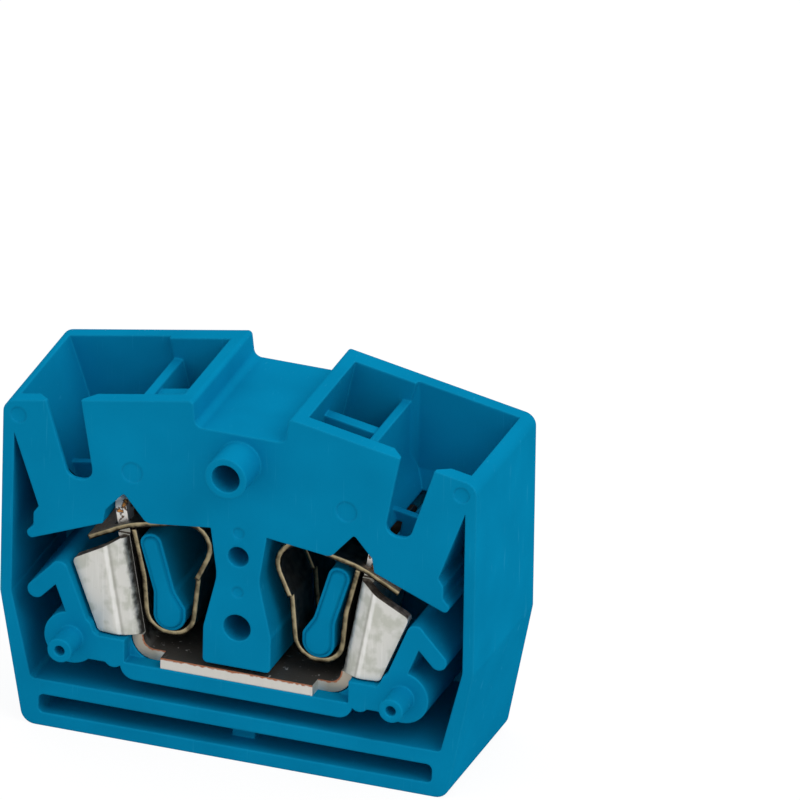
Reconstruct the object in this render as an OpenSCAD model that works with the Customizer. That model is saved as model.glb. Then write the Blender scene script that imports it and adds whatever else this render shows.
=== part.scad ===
// Feed-through terminal block for a plug-together strip, four spring-cage wire entries.
// X runs along the block, Y through its depth with the open side at -Y, and Z is up.
// Depths are measured from the open front face, heights from the bottom face.

/* [Block] */
// Overall length along X
block_length = 29.6; // [28.8:0.1:36]
// Depth of the moulding, which is also the pitch of the strip
block_depth = 10; // [9.4:0.1:14]
// Height of the roof beside the marker groove
ridge_height = 23; // [22.4:0.1:28]
// Fall of the roof towards the ends, in degrees
roof_fall = 10.5; // [6:0.5:14]
// Thickness of the end walls
end_wall = 0.7; // [0.5:0.05:1.2]
// Thickness of the end walls at the cavity floor
foot_wall = 1.0; // [0.7:0.05:1.5]
// Thickness of the back wall
back_wall = 1.0; // [0.7:0.05:1.5]
// Thickness of the front panel over the shafts and funnels
front_panel = 1.0; // [0.7:0.05:1.3]
// Height where the end walls begin to slant inwards
kink_height = 8.4; // [6:0.1:10]
// How far the slanted walls come in at the bottom
foot_inset = 1.55; // [0.8:0.05:2.2]
// Radius of the bottom corners
foot_radius = 0.9; // [0.3:0.1:1.5]
// Radius of the top corners
shoulder_radius = 0.8; // [0.3:0.1:1.2]

/* [Base] */
// Height of the cavity floor
base_height = 3.0; // [2.6:0.1:3.2]
// Clear height of the long slot in the base
slot_height = 1.2; // [0.8:0.1:1.4]
// Thickness of the base under the slot
slot_floor = 0.85; // [0.6:0.05:1]
// Wall between each end of the slot and the corner of the foot
slot_end_wall = 0.95; // [0.7:0.05:1.5]
// Radius of the corners at the ends of the slot
slot_radius = 0.35; // [0.1:0.05:0.5]
// Width of the web in the middle of the slot
slot_web = 1.4; // [0.8:0.1:2]
// How far the web stands back from the front
slot_web_setback = 1.5; // [0.5:0.1:3]

/* [Marker groove] */
// Width of the groove at its floor
groove_width = 5.6; // [4:0.1:6.4]
// Depth of the groove below the ridges
groove_depth = 1.65; // [0.8:0.05:1.8]
// Flare of each side of the groove
groove_flare = 0.2; // [0:0.05:0.4]
// Radius along the ridges of the groove
ridge_radius = 0.25; // [0.1:0.05:0.4]
// Radius of the corners of the groove floor
groove_radius = 0.5; // [0.2:0.05:0.6]

/* [Actuation shafts and wire funnels] */
// Inner edge of each shaft at the roof, from the middle
shaft_start = 3.9; // [3.6:0.1:4.4]
// Width of each shaft at the roof
shaft_width = 3.3; // [3:0.1:3.5]
// Lean of the inner wall of each shaft, in degrees
shaft_lean = 11.5; // [6:0.5:13]
// Lean of the outer wall of each shaft, in degrees
shaft_outer_lean = 14; // [8:0.5:16]
// Wall between the shafts and the back of the block
shaft_back = 1.2; // [0.8:0.1:1.5]
// Thickness of the rib that parts the front shaft from the rear one
shaft_rib = 0.8; // [0.5:0.1:1]
// Drop of that rib below the roof
shaft_rib_drop = 1.65; // [1:0.05:2]
// Wall between each shaft and its funnel
funnel_rib = 0.55; // [0.45:0.05:0.7]
// Drop of that wall below the roof
funnel_rib_drop = 1.35; // [0.8:0.05:1.6]
// Lean of the outer wall of each funnel, in degrees
funnel_lean = 19.5; // [15:0.5:22]
// Thickness of the outer wall of each funnel
funnel_wall = 0.7; // [0.5:0.05:0.9]
// Wall behind the funnels
funnel_back = 0.85; // [0.6:0.05:1.2]
// Radius of the upright corners of the funnels
funnel_radius = 0.5; // [0.2:0.1:0.8]
// Height of the top of the lead-in on the inner side, above the seat of the bar
lead_in_top = 12.3; // [12:0.1:12.8]
// Height of the top of the lead-in at the back, above the seat
lead_in_back = 11.35; // [11:0.05:11.8]
// Step of the lead-in at the back
lead_in_step = 0.75; // [0.4:0.05:1]
// Height of the narrow throat of the funnel above the seat
throat_height = 9.6; // [9.4:0.05:9.8]
// Thickness of the partition between the two wires of a funnel
partition_t = 0.5; // [0.4:0.05:0.8]
// Drop of that partition below the roof
partition_drop = 6.1; // [5.8:0.1:6.6]
// Width of the notch in the front panel at its bottom
notch_width = 1.6; // [1.2:0.05:2]
// Height of the bottom of that notch above the seat of the bar
notch_bottom = 11.45; // [11.2:0.05:12]
// Distance of the notch from the inner funnel wall
notch_offset = 1.3; // [1:0.05:1.5]
// Lean of the outer edge of the notch, in degrees
notch_lean = 17.5; // [10:0.5:19]
// Lean of the inner edge of the notch, in degrees
notch_inner_lean = 10; // [4:0.5:12]
// Radius of the bottom corners of the notch
notch_radius = 0.7; // [0.3:0.05:0.75]
// Thickness of the panel at the edge of the notch
notch_edge = 0.3; // [0.2:0.05:0.5]
// Slope of the bevel behind that edge, in degrees
notch_bevel = 45; // [30:1:50]

/* [Roof of the clamp chamber] */
// Height of the middle of the roof above the seat of the bar
vault_middle = 10.05; // [9.9:0.05:10.3]
// Height of the roof beside the peak that takes the tongue
vault_peak_foot = 9.35; // [9.25:0.05:9.6]
// Height of the peak
vault_peak = 11.05; // [10.8:0.05:11.4]
// Height of the roof on the wire side of the peak
vault_wire = 8.85; // [8.75:0.05:9.1]
// Distance of the peak from the tongues of the bar, towards the middle
peak_offset = 0.85; // [0.6:0.05:1.1]
// Distance of the inner foot of the peak from the tongues
peak_foot_offset = 1.95; // [1.6:0.05:2.2]
// Height of the upright step on the wire side of the peak
peak_step = 0.9; // [0.6:0.05:1.1]
// Radius at the top of the peak
peak_radius = 0.15; // [0.05:0.05:0.3]
// Radius at the inner foot of the peak
peak_foot_radius = 0.6; // [0.2:0.1:0.8]
// Room around the tongues where they reach into the roof
tongue_play = 0.15; // [0.1:0.05:0.2]
// Height of the top of the lip at the end
lip_top = 9.2; // [8.8:0.05:9.5]
// Height of the bottom of the lip
lip_bottom = 7.0; // [6.8:0.05:7.1]
// Gap between the lip and the end wall
lip_gap = 0.85; // [0.6:0.05:1.1]
// Depth of the step in the outer side of the lip
lip_step = 0.45; // [0.3:0.05:0.6]
// Radius of the small corners of the chamber
chamber_radius = 0.28; // [0.1:0.02:0.3]

/* [Contact bar] */
// Thickness of the strip
bar_t = 0.7; // [0.6:0.05:0.8]
// Height of the seat that the bar lies on
bar_seat = 5.1; // [4.9:0.05:5.4]
// Half of the distance between the two upright plates, at the bend
bar_half = 6.35; // [6.2:0.05:6.6]
// Lean of the upright plates, in degrees
bar_lean = 10; // [8.5:0.25:10.5]
// Inside radius of the bends
bar_bend = 0.7; // [0.4:0.05:0.9]
// Half of the length of the broad middle that reaches the front face
bar_broad_half = 4.75; // [4:0.05:4.9]
// How far the broad middle stands behind the front face
bar_broad_front = 0.06; // [0:0.02:0.2]
// How far the narrow ends stand behind the front face
bar_front = 1.0; // [0.8:0.05:1.2]
// Gap between the bar and the back wall
bar_rear_gap = 0.3; // [0.1:0.05:0.5]
// Height of the plates above the seat
plate_top = 7.7; // [7.3:0.05:7.75]
// Height of the tongues above the seat
tongue_top = 10.0; // [9.4:0.05:10.2]
// Radius of the corners of the plates
plate_radius = 0.2; // [0.1:0.05:0.3]
// Radius of the tongue corners
tongue_radius = 0.95; // [0.4:0.05:1]

/* [Wings of the bar] */
// Distance of the wings behind the front face
wing_front = 0.3; // [0.1:0.05:0.4]
// Inside radius of the bend into each wing
wing_bend = 0.1; // [0.05:0.05:0.2]
// Distance of the crease in each wing from the plate
crease_reach = 0.95; // [0.7:0.05:1.2]
// Turn of the inner facet of the wing, in degrees
crease_turn = 27; // [15:1:30]
// Inside radius of the crease
crease_radius = 0.6; // [0.3:0.1:0.9]
// Turn of the outer facet of the wing, in degrees
wing_turn = 6; // [2:0.5:9]
// Thinning of each face of a wing by its bend
bend_thinning = 0.02; // [0.01:0.01:0.05]
// Height of the lower edge above the seat
wing_bottom = 1.5; // [1.4:0.05:1.8]
// Reach of the lower corner from the plate
wing_low_reach = 2.25; // [1.9:0.05:2.35]
// Reach of the upper corner from the plate
wing_high_reach = 3.2; // [2.8:0.05:3.3]
// Height of the upper corner above the seat
wing_high = 5.9; // [5.4:0.05:6]
// Radius of the wing corners
wing_radius = 0.35; // [0.1:0.05:0.6]

/* [Springs] */
// Thickness of the spring strip
spring_t = 0.3; // [0.2:0.02:0.34]
// Distance of the springs behind the front face
spring_front = 0.95; // [0.8:0.05:1.2]
// Gap between the front spring and the rear one
spring_gap = 0.4; // [0.2:0.05:0.6]
// Gap between the rear spring and the back wall
spring_rear_gap = 0.65; // [0.4:0.05:0.8]
// Step on each edge where the strip gets narrower at its waist
spring_neck = 0.35; // [0.25:0.05:0.6]
// Width of the rail on each side of the window
window_rail = 0.45; // [0.35:0.05:0.6]
// Clearance between the window and the tongue of the bar
window_clearance = 0.08; // [0.05:0.01:0.15]
// Length of the strip past the window
spring_nose = 1.55; // [1.2:0.05:1.8]
// Radius of the lower bend, on the middle of the strip
loop_radius = 1.36; // [1.28:0.02:1.4]
// Height of the lowest point of the strip above the seat, on its middle
loop_bottom = 1.8; // [1.6:0.05:1.9]
// Gap between the lower bend and the plates of the bar
loop_gap = 0.33; // [0.2:0.01:0.45]
// How far the tongue leg bows out above the lower bend
bow_step = 0.3; // [0.15:0.05:0.4]
// Height of that bow above the seat
bow_height = 5.2; // [4.8:0.1:5.6]
// Radius of that bow
bow_radius = 3; // [1:0.5:4]
// Radius of the upper bend, on the middle of the strip
arc_radius = 1.45; // [1.3:0.05:1.5]
// Height of the waist above the seat
waist_height = 5.75; // [5.5:0.05:6]
// Step of the waist beside the lower bend
waist_step = 0.38; // [0.3:0.01:0.46]
// Lean of the strip from the waist to the upper bend, in degrees
waist_lean = 24; // [22.5:0.5:25.5]
// Radius of the waist, on the middle of the strip
waist_radius = 0.25; // [0.2:0.05:0.4]
// Distance of the crest of the window leg from the plates of the bar
crest_offset = 0.5; // [0.4:0.05:0.6]
// Radius over the crest
crest_radius = 6; // [4:0.5:8]
// Height of the crest of the window leg above the seat
leg_crest = 8.5; // [8.46:0.01:8.55]
// Fall of the window leg over the arc, in degrees
arc_fall = 13; // [12:0.2:13.6]
// Fall of the window leg towards its nose, in degrees
nose_fall = 27.5; // [26:0.1:28.5]
// Gap between the tip of the tongue leg and the plate of the bar
tip_gap = 0.2; // [0.1:0.01:0.3]
// Height of the tip of the tongue leg above the seat
tip_height = 8.1; // [7.8:0.05:8.2]

/* [Ribs of the chamber] */
// Gap between the waist of the centre post and the springs
post_gap = 0.65; // [0.5:0.05:0.9]
// How much wider each side of the post is at its top than at its waist
post_flare = 0.47; // [0.2:0.01:0.5]
// How much wider each side of the post is at its foot than at its waist
post_foot = 0.8; // [0.4:0.05:0.9]
// Height of the waist of the post above the seat
post_waist_height = 6.8; // [6.4:0.1:7.2]
// Height of the widest place of its foot above the seat
post_foot_height = 3.3; // [2.8:0.1:3.8]
// Radius of the waist of the post
post_waist_radius = 2.5; // [1:0.25:3]
// Radius of the foot of the post
post_foot_radius = 1.5; // [0.5:0.25:2]
// Gap between the centre post and the bar
post_lift = 0.3; // [0.1:0.05:0.5]
// Diameter of the upper hole in the centre post
post_hole_small = 1.3; // [0.8:0.05:1.5]
// Height of the upper hole
post_hole_high = 13.35; // [13:0.05:13.8]
// Diameter of the lower hole in the centre post
post_hole_large = 1.7; // [1.2:0.05:2]
// Height of the lower hole
post_hole_low = 8.7; // [8.2:0.05:9]
// Depth of both holes
post_hole_depth = 5; // [2:0.5:7]
// Setback of the spring posts from the front face
spring_post_front = 1.2; // [0.9:0.05:1.6]
// Radius of the bulb that the lower bend hangs on
bulb_radius = 1.0; // [0.9:0.01:1.03]
// Gap between the bulb and the spring
bulb_gap = 0.04; // [0.02:0.01:0.1]
// Height of the round top of the spring post above the seat, at its middle
spring_post_top = 7.4; // [7:0.05:7.5]
// Gap between the spring post and the tongue leg of the spring
spring_post_gap = 0.16; // [0.1:0.02:0.3]
// Thickness of the spring post above the bulb
spring_post_t = 1.35; // [1.1:0.05:1.4]
// Height of the neck of the spring post above the middle of the bulb
neck_rise = 1.6; // [1.4:0.05:1.9]
// Radius of that neck
neck_radius = 1.2; // [0.6:0.1:1.5]
// Height of the shoulder of the bulb above its middle
bulb_shoulder = 0.55; // [0.4:0.05:0.7]
// Thickness of the plate under the bar
seat_t = 1.05; // [0.8:0.05:1.2]
// How far that plate reaches past the bends of the bar
seat_reach = 0.25; // [0.1:0.05:0.4]
// Radius of the lower corner of that plate
seat_radius = 0.9; // [0.4:0.1:1]
// Radius of the lobe behind each peg
lobe_radius = 1.65; // [1.3:0.05:1.8]
// Drop of the lower edge between the two lobes below the seat
valley_drop = 0.2; // [0.1:0.05:0.4]
// Height of the small lobe beside the seat, above the seat
small_lobe_rise = 0.15; // [0:0.05:0.3]
// Radius of the small lobe
small_lobe_radius = 0.6; // [0.4:0.05:0.7]
// Thickness of the leg beside the wing
leg_t = 1.1; // [0.8:0.05:1.2]
// Gap between that leg and the wing
leg_gap = 0.25; // [0.15:0.05:0.4]
// Thickness of the arm at the top of the leg
arm_t = 1.05; // [0.8:0.05:1.2]
// Gap between the arm and the end wall
arm_gap = 1.0; // [0.7:0.05:1.4]
// Drop of the arm from the leg to its end
arm_drop = 1.55; // [1.2:0.05:1.8]
// Distance of the bracket from the bends of the bar
bracket_gap = 0.3; // [0.15:0.05:0.4]
// Play between the bar and the walls beside it
bar_play = 0.08; // [0.05:0.01:0.15]

/* [Plug-in boss, pegs and sockets] */
// Diameter of the boss
boss_d = 2.6; // [2:0.1:2.8]
// Diameter of the hole in the boss
boss_hole_d = 1.75; // [1:0.05:1.8]
// Depth of that hole
boss_hole_depth = 5; // [3:0.5:6]
// Length of the boss
boss_length = 2.4; // [1.6:0.1:3]
// Height of the boss
boss_height = 19.6; // [18.8:0.1:19.8]
// Diameter of the two pegs
peg_d = 1.5; // [1.2:0.05:1.8]
// Diameter of the holes in the pegs
peg_hole_d = 0.65; // [0.4:0.05:0.8]
// Depth of those holes
peg_hole_depth = 2.5; // [1.5:0.5:4]
// Length of the pegs
peg_length = 1.9; // [1.2:0.1:2.4]
// Distance of each peg from the middle
peg_offset = 10.35; // [10.1:0.05:10.5]
// Height of the pegs
peg_height = 6.1; // [5.8:0.05:6.3]
// Radial clearance of the sockets in the back
socket_clearance = 0.05; // [0.02:0.01:0.1]
// Room at the end of each socket
socket_room = 0.25; // [0.1:0.05:0.4]

/* [Ejector marks] */
// Depth of the round marks that the ejector pins of the mould leave
mark_depth = 0.08; // [0.04:0.01:0.15]
// Radius of the marks on the front panel
panel_mark = 0.65; // [0.4:0.05:0.7]
// Distance of those marks from the middle
panel_mark_x = 6.7; // [6:0.1:7]
// Height of those marks
panel_mark_z = 17.6; // [17.3:0.1:18]
// Radius of the marks at the upper corners
corner_mark = 0.5; // [0.3:0.05:0.55]
// Distance of those marks from both faces of the corner
corner_mark_inset = 0.95; // [0.8:0.05:1.1]
// Radius of the marks on the centre post
post_mark = 0.35; // [0.2:0.05:0.4]

/* [Hidden] */
$fn = 48;
// Steps on one rounded corner of an outline
arc_steps = 7;
// Overlap that makes cuts run past a face
past = 0.5;
// Overlap that joins two shapes that meet
lap = 0.05;

half = block_length / 2;
wall_in = half - end_wall;
foot_half = half - foot_inset;
rear = block_depth - back_wall;
groove_floor = ridge_height - groove_depth;
groove_half = groove_width / 2;
groove_top = groove_half + groove_flare;
shaft_end = shaft_start + shaft_width;
funnel_start = shaft_end + funnel_rib;

// Bar: middle of the strip, the lean of the plates and the places that follow from them
bar_mid = bar_seat + bar_t / 2;
bar_rear = rear - bar_rear_gap;
plate_skew = bar_t / 2 / cos(bar_lean);
tongue_z = bar_seat + tongue_top;

// Springs: widths and the middle of each pair of wire places through the depth
spring_w = (rear - spring_rear_gap - spring_front - spring_gap) / 2;
spring_mid = [spring_front + spring_w / 2, spring_front + spring_gap + 1.5 * spring_w];
window_w = spring_w - 2 * window_rail;
neck_w = spring_w - 2 * spring_neck;
tongue_w = window_w - 4 * window_clearance;
pair_mid = spring_front + spring_w + spring_gap / 2;

// Lower bend of the springs and the bulb inside it
loop_z = bar_seat + loop_bottom;
loop_x = plate_in(loop_z + loop_radius) - loop_gap - spring_t / 2 - loop_radius;
bulb_z = loop_z + spring_t / 2 + bulb_gap + bulb_radius;
waist = [loop_x - loop_radius - waist_step, bar_seat + waist_height];

// Window leg of the springs: its nose, its crest and the tip of the tongue leg under it
leg_z = bar_seat + leg_crest;
crest_x = plate_x(leg_z) - crest_offset;
nose_end = plate_out(leg_z) + spring_nose;
nose = [nose_end, leg_z - (nose_end - crest_x) * tan(nose_fall)];
tip_z = bar_seat + tip_height;
tip = [plate_in(tip_z) - tip_gap - spring_t / 2, tip_z];
bow = [loop_x + loop_radius + bow_step, bar_seat + bow_height];

// Where the line of the window leg meets the line that rises from the waist
arc_meet =
    let (rise = tan(90 - waist_lean), fall = tan(arc_fall),
         x = (waist[1] + rise * waist[0] - leg_z - fall * crest_x) / (rise - fall))
    [x, leg_z + fall * (crest_x - x)];

// Middle lines of the wide part and of the narrow part of a spring
wide_line = rounded_line([
    nose, [crest_x, leg_z, crest_radius], [arc_meet[0], arc_meet[1], arc_radius], waist]);
narrow_line = rounded_line([
    waist + unit(arc_meet - waist) * spring_neck,
    [waist[0], waist[1], waist_radius],
    [loop_x - loop_radius, loop_z, loop_radius],
    [loop_x + loop_radius, loop_z, loop_radius],
    [bow[0], bow[1], bow_radius],
    tip]);
arc_in = min([for (p = wide_line) p[0]]) - spring_t / 2;

// Roof line over the ends, which starts at the top of the groove
function roof(x) = ridge_height - (x - groove_top) * tan(roof_fall);

// Middle of an upright plate of the bar at a height
function plate_x(z) = bar_half + (z - bar_mid) * tan(bar_lean);

// Inner and outer face of an upright plate
function plate_in(z) = plate_x(z) - plate_skew;
function plate_out(z) = plate_x(z) + plate_skew;

function unit(v) = v / norm(v);
function flat(p) = [p[0], p[1]];

// Points of a fillet of radius r at b, between its neighbours a and c
function fillet(a, b, c, r) =
    let (u = unit(a - b), v = unit(c - b), bend = acos(max(-1, min(1, u * v))) / 2,
         middle = b + unit(u + v) * r / sin(bend),
         first = b + u * r / tan(bend) - middle,
         last = b + v * r / tan(bend) - middle,
         start = atan2(first[1], first[0]),
         sweep = (atan2(last[1], last[0]) - start + 540) % 360 - 180)
    [for (k = [0:arc_steps])
        middle + r * [cos(start + sweep * k / arc_steps), sin(start + sweep * k / arc_steps)]];

// A corner is [x, z] or [x, z, radius]
function corner(p, i, j, k) =
    len(p[j]) < 3 ? [flat(p[j])] : fillet(flat(p[i]), flat(p[j]), flat(p[k]), p[j][2]);
function rounded(p) =
    let (n = len(p)) [for (i = [0:n - 1]) each corner(p, (i + n - 1) % n, i, (i + 1) % n)];
function rounded_line(p) =
    let (n = len(p))
    [for (i = [0:n - 1]) each (i == 0 || i == n - 1) ? [flat(p[i])] : corner(p, i - 1, i, i + 1)];

// Both halves of an outline that is the same left and right
function mirrored(p) =
    concat(p, [for (i = [len(p) - 1:-1:0]) [for (k = [0:len(p[i]) - 1]) k == 0 ? -p[i][0] : p[i][k]]]);

// Outline of a strip of thickness t along a line of points
function side_step(p, i) =
    let (n = len(p), a = unit(p[max(i, 1)] - p[max(i, 1) - 1]),
         b = unit(p[min(i, n - 2) + 1] - p[min(i, n - 2)]), m = unit(a + b))
    [-m[1], m[0]] / (m * a);
function strip(p, t) =
    concat([for (i = [0:len(p) - 1]) p[i] + side_step(p, i) * t / 2],
           [for (i = [len(p) - 1:-1:0]) p[i] - side_step(p, i) * t / 2]);

// Extrudes an outline of X and Z between two depths
module slab(from, to) {
    translate([0, to - block_depth / 2, 0])
        rotate([90, 0, 0]) linear_extrude(to - from) children();
}

// Round hole or pin along the depth
module pin(x, z, d, from, to) {
    translate([x, to - block_depth / 2, z])
        rotate([90, 0, 0]) cylinder(d = d, h = to - from);
}

module both_sides() {
    children();
    mirror([1, 0, 0]) children();
}

// Moulded housing

module block_outline() {
    polygon(rounded(mirrored([
        [foot_half, 0, foot_radius],
        [half, kink_height, foot_radius],
        [half, roof(half), shoulder_radius],
        [groove_top, ridge_height, ridge_radius],
        [groove_half, groove_floor, groove_radius]])));
}

// The chamber is open to the front: end walls, cavity floor and the roof over the clamps
lip_x = wall_in - lip_gap;
gap_apex = roof(wall_in) - funnel_wall / sin(funnel_lean);
lip_z = bar_seat + lip_top;
lip_low = bar_seat + lip_bottom;
gap_foot = wall_in - (gap_apex - lip_z) * tan(funnel_lean);
peak_x = plate_x(tongue_z) - peak_offset;
peak_foot_x = plate_in(tongue_z) - peak_foot_offset;
peak_wire_x = plate_out(tongue_z) + bar_play;

module chamber_outline() {
    polygon(rounded(mirrored([
        [half - foot_inset * (1 - base_height / kink_height) - foot_wall, base_height, chamber_radius],
        [wall_in, kink_height, foot_radius],
        [wall_in, gap_apex],
        [gap_foot, lip_z],
        [lip_x - lip_step, lip_z - lip_step, chamber_radius],
        [lip_x - lip_step, lip_low + 2 * lip_step, chamber_radius],
        [lip_x, lip_low + lip_step, chamber_radius],
        [lip_x - lip_step / 2, lip_low, chamber_radius],
        [peak_wire_x, bar_seat + vault_wire],
        [peak_wire_x - peak_radius, bar_seat + vault_wire + peak_step],
        [peak_x, bar_seat + vault_peak, peak_radius],
        [peak_foot_x, bar_seat + vault_peak_foot, peak_foot_radius],
        [0, bar_seat + vault_middle]])));
}

// Centre post, waisted where the springs bulge, from the chamber roof down over the bar
post_half = arc_in - post_gap;
post_low = bar_seat + bar_t + post_lift;

module centre_post() {
    polygon(rounded(mirrored([
        [post_half + post_foot, post_low, chamber_radius],
        [post_half + post_foot, bar_seat + post_foot_height, post_foot_radius],
        [post_half, bar_seat + post_waist_height, post_waist_radius],
        [post_half + post_flare, bar_seat + vault_middle]])));
}

// Post inside each spring: a bulb in the lower bend and a leaning blade above it
blade_z = bar_seat + spring_post_top;
leg_x = bow[0] + (tip[0] - bow[0]) * (blade_z - bow[1]) / (tip_z - bow[1]);
blade_high = [leg_x - spring_t / 2 - spring_post_gap - spring_post_t / 2, blade_z];
blade_low = [loop_x + bulb_radius - spring_post_t / 2, bulb_z + spring_post_t];
blade_up = unit(blade_high - blade_low) * spring_post_t / 2;
blade_out = [blade_up[1], -blade_up[0]];
neck_z = bulb_z + neck_rise;
neck_x = blade_low[0] - blade_out[0] + (neck_z - blade_low[1] + blade_out[1]) * blade_up[0] / blade_up[1];

module spring_post() {
    translate([loop_x, bulb_z]) circle(bulb_radius);
    polygon(rounded([
        [loop_x - bulb_radius, bulb_z], [loop_x + bulb_radius, bulb_z],
        [loop_x + bulb_radius, bulb_z + spring_post_t, neck_radius],
        concat(blade_high + blade_up + blade_out, [spring_post_t / 2 - lap]),
        concat(blade_high + blade_up - blade_out, [spring_post_t / 2 - lap]),
        [neck_x, neck_z, neck_radius],
        [loop_x - bulb_radius, bulb_z + bulb_shoulder, bulb_shoulder]]));
}

// Seat of the bar with the lobe behind the peg, and the leg and arm beside the wing
wing_low_z = bar_seat + wing_bottom;
wing_high_z = bar_seat + wing_high;
wing_low_x = plate_out(wing_low_z) + wing_low_reach - plate_skew;
wing_high_x = plate_x(wing_high_z) + wing_high_reach;
wing_edge = unit([wing_high_x - wing_low_x, wing_high_z - wing_low_z]);
leg_side = [wing_edge[1], -wing_edge[0]] * (leg_gap + leg_t / 2);
leg_low = [wing_low_x, wing_low_z] + leg_side;
leg_high = [wing_high_x, wing_high_z] + leg_side - wing_edge * wing_radius;
arm_end = [wall_in - arm_gap - arm_t / 2, leg_high[1] - arm_drop];
cradle_x = plate_x(bar_mid) + bar_t / 2 + bracket_gap;
stop_z = wing_low_z - bar_play;
small_lobe_x = cradle_x + small_lobe_radius + bar_play;
valley_z = bar_seat - valley_drop;
seat_low = bar_seat - seat_t;

module seat_plate() {
    polygon(rounded(mirrored([
        [cradle_x + seat_reach, seat_low, seat_radius],
        [cradle_x + seat_reach, bar_seat]])));
}

module bracket() {
    translate([small_lobe_x, bar_seat + small_lobe_rise]) circle(small_lobe_radius);
    translate([peg_offset, peg_height]) circle(lobe_radius);
    polygon([[cradle_x, valley_z], [peg_offset, valley_z],
             [leg_low[0] + leg_t / 2, stop_z], [cradle_x, stop_z]]);
    polygon(strip([[peg_offset, peg_height], leg_low, leg_high], leg_t));
    polygon(strip([leg_high, arm_end], arm_t));
    translate(leg_high) circle(d = leg_t);
    translate(arm_end) circle(d = arm_t);
}

// Outline of a wing, grown by the play
plate_z = bar_seat + plate_top;
function wing_points(play) = [
    [plate_in(wing_low_z) - past, wing_low_z + lap - play],
    [wing_low_x + play, wing_low_z + lap - play, wing_radius],
    [wing_high_x + play, wing_high_z + play, wing_radius],
    [plate_x(plate_z), plate_z - lap + play],
    [plate_in(plate_z) - past, plate_z - lap + play]];

// Middle line of the bar, with both ends bent up as far as the rise along the plates
function bar_line(rise) =
    let (side = bar_half + rise * sin(bar_lean), top = bar_mid + rise * cos(bar_lean),
         r = bar_bend + bar_t / 2)
    rounded_line([[-side, top], [-bar_half, bar_mid, r], [bar_half, bar_mid, r], [side, top]]);

// Space that the bar and its play take out of the ribs
module bar_room() {
    polygon(bar_line(tongue_top));
    polygon(strip(bar_line(tongue_top), bar_t + 2 * bar_play));
}

module wing_room() {
    polygon(rounded(wing_points(bar_play)));
}

module cradle() {
    difference() {
        translate([bar_broad_half + bar_play, bar_seat - bar_play])
            square([cradle_x + lap - bar_broad_half - bar_play, stop_z + bar_play - bar_seat]);
        bar_room();
    }
}

module ribs() {
    slab(0, block_depth - back_wall / 2) centre_post();
    slab(0, block_depth - back_wall / 2) seat_plate();
    both_sides() {
        slab(spring_post_front, block_depth - back_wall / 2) spring_post();
        slab(0, bar_front) difference() {
            bracket();
            wing_room();
        }
        slab(bar_front, block_depth - back_wall / 2) difference() {
            bracket();
            bar_room();
            wing_room();
        }
        slab(bar_front, block_depth - back_wall / 2) cradle();
    }
}

// Shafts for the screwdriver: two in a row through the depth, with a low rib between them
shaft_foot = bar_seat + vault_peak_foot - past;
shaft_rear = block_depth - shaft_back;

// Outer wall of a shaft at a height
function shaft_out(z) = shaft_end + (z - roof(shaft_end)) * tan(shaft_outer_lean);

module shaft_outline() {
    top = ridge_height + past;
    inner_top = shaft_start + (top - roof(shaft_start)) * tan(shaft_lean);
    inner_foot = shaft_start + (shaft_foot - roof(shaft_start)) * tan(shaft_lean);
    polygon([[inner_top, top], [shaft_out(top), top],
             [shaft_out(shaft_foot), shaft_foot], [inner_foot, shaft_foot]]);
}

// Everything above a line that runs parallel to the roof, at a drop below it
module above_roof(drop) {
    polygon([[0, roof(0) - drop], [half, roof(half) - drop],
             [half, ridge_height + 2 * past], [0, ridge_height + 2 * past]]);
}

module shafts() {
    rib_mid = (front_panel + shaft_rear) / 2;
    slab(front_panel, rib_mid - shaft_rib / 2) shaft_outline();
    slab(rib_mid + shaft_rib / 2, shaft_rear) shaft_outline();
    slab(front_panel, shaft_rear) intersection() {
        shaft_outline();
        above_roof(shaft_rib_drop);
    }
}

// Wire funnels with a leaning outer wall, which narrow to a throat beside the tongues of the bar
funnel_rear = block_depth - funnel_back;
rib_top = roof(shaft_end) - funnel_rib_drop;
throat_z = bar_seat + throat_height;
throat_x = plate_out(throat_z) + tongue_play;

// Outer wall of a funnel at a height
function funnel_out(z) = wall_in + (z - roof(wall_in)) * tan(funnel_lean);

module funnel_outline() {
    wall = shaft_out(rib_top) + funnel_rib;
    top = ridge_height + past;
    polygon([[shaft_out(top) + funnel_rib, top], [wall_in, top], [wall_in, roof(wall_in)],
             [funnel_out(lip_low), lip_low], [throat_x, lip_low], [throat_x, throat_z],
             [wall, bar_seat + lead_in_top], [wall, rib_top]]);
}

module funnel_plan() {
    inner = shaft_out(rib_top) + funnel_rib;
    translate([0, -block_depth / 2])
        polygon(rounded([
            [inner, front_panel, funnel_radius], [half + past, front_panel],
            [half + past, funnel_rear], [inner, funnel_rear, funnel_radius]]));
}

// Outline of the funnel through the depth, with the lead-in at the back
module funnel_side() {
    translate([-block_depth / 2, 0]) polygon([
        [0, 0], [funnel_rear - lead_in_step, 0], [funnel_rear - lead_in_step, throat_z],
        [funnel_rear, bar_seat + lead_in_back], [funnel_rear, ridge_height + 2 * past],
        [0, ridge_height + 2 * past]]);
}

module funnel() {
    difference() {
        intersection() {
            slab(0, block_depth) funnel_outline();
            linear_extrude(ridge_height + 2 * past) funnel_plan();
            rotate([90, 0, 90]) linear_extrude(half) funnel_side();
        }
        slab(pair_mid - partition_t / 2, pair_mid + partition_t / 2) difference() {
            square([half, ridge_height]);
            above_roof(partition_drop);
        }
    }
}

// Low stretch of the wall between shaft and funnel, and the recess for the tongues of the bar
module rib_window() {
    slab(front_panel, shaft_rear)
        translate([shaft_out(rib_top) - lap, rib_top])
            square([funnel_rib + shaft_end - shaft_out(rib_top) + lap, ridge_height - rib_top]);
}

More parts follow.
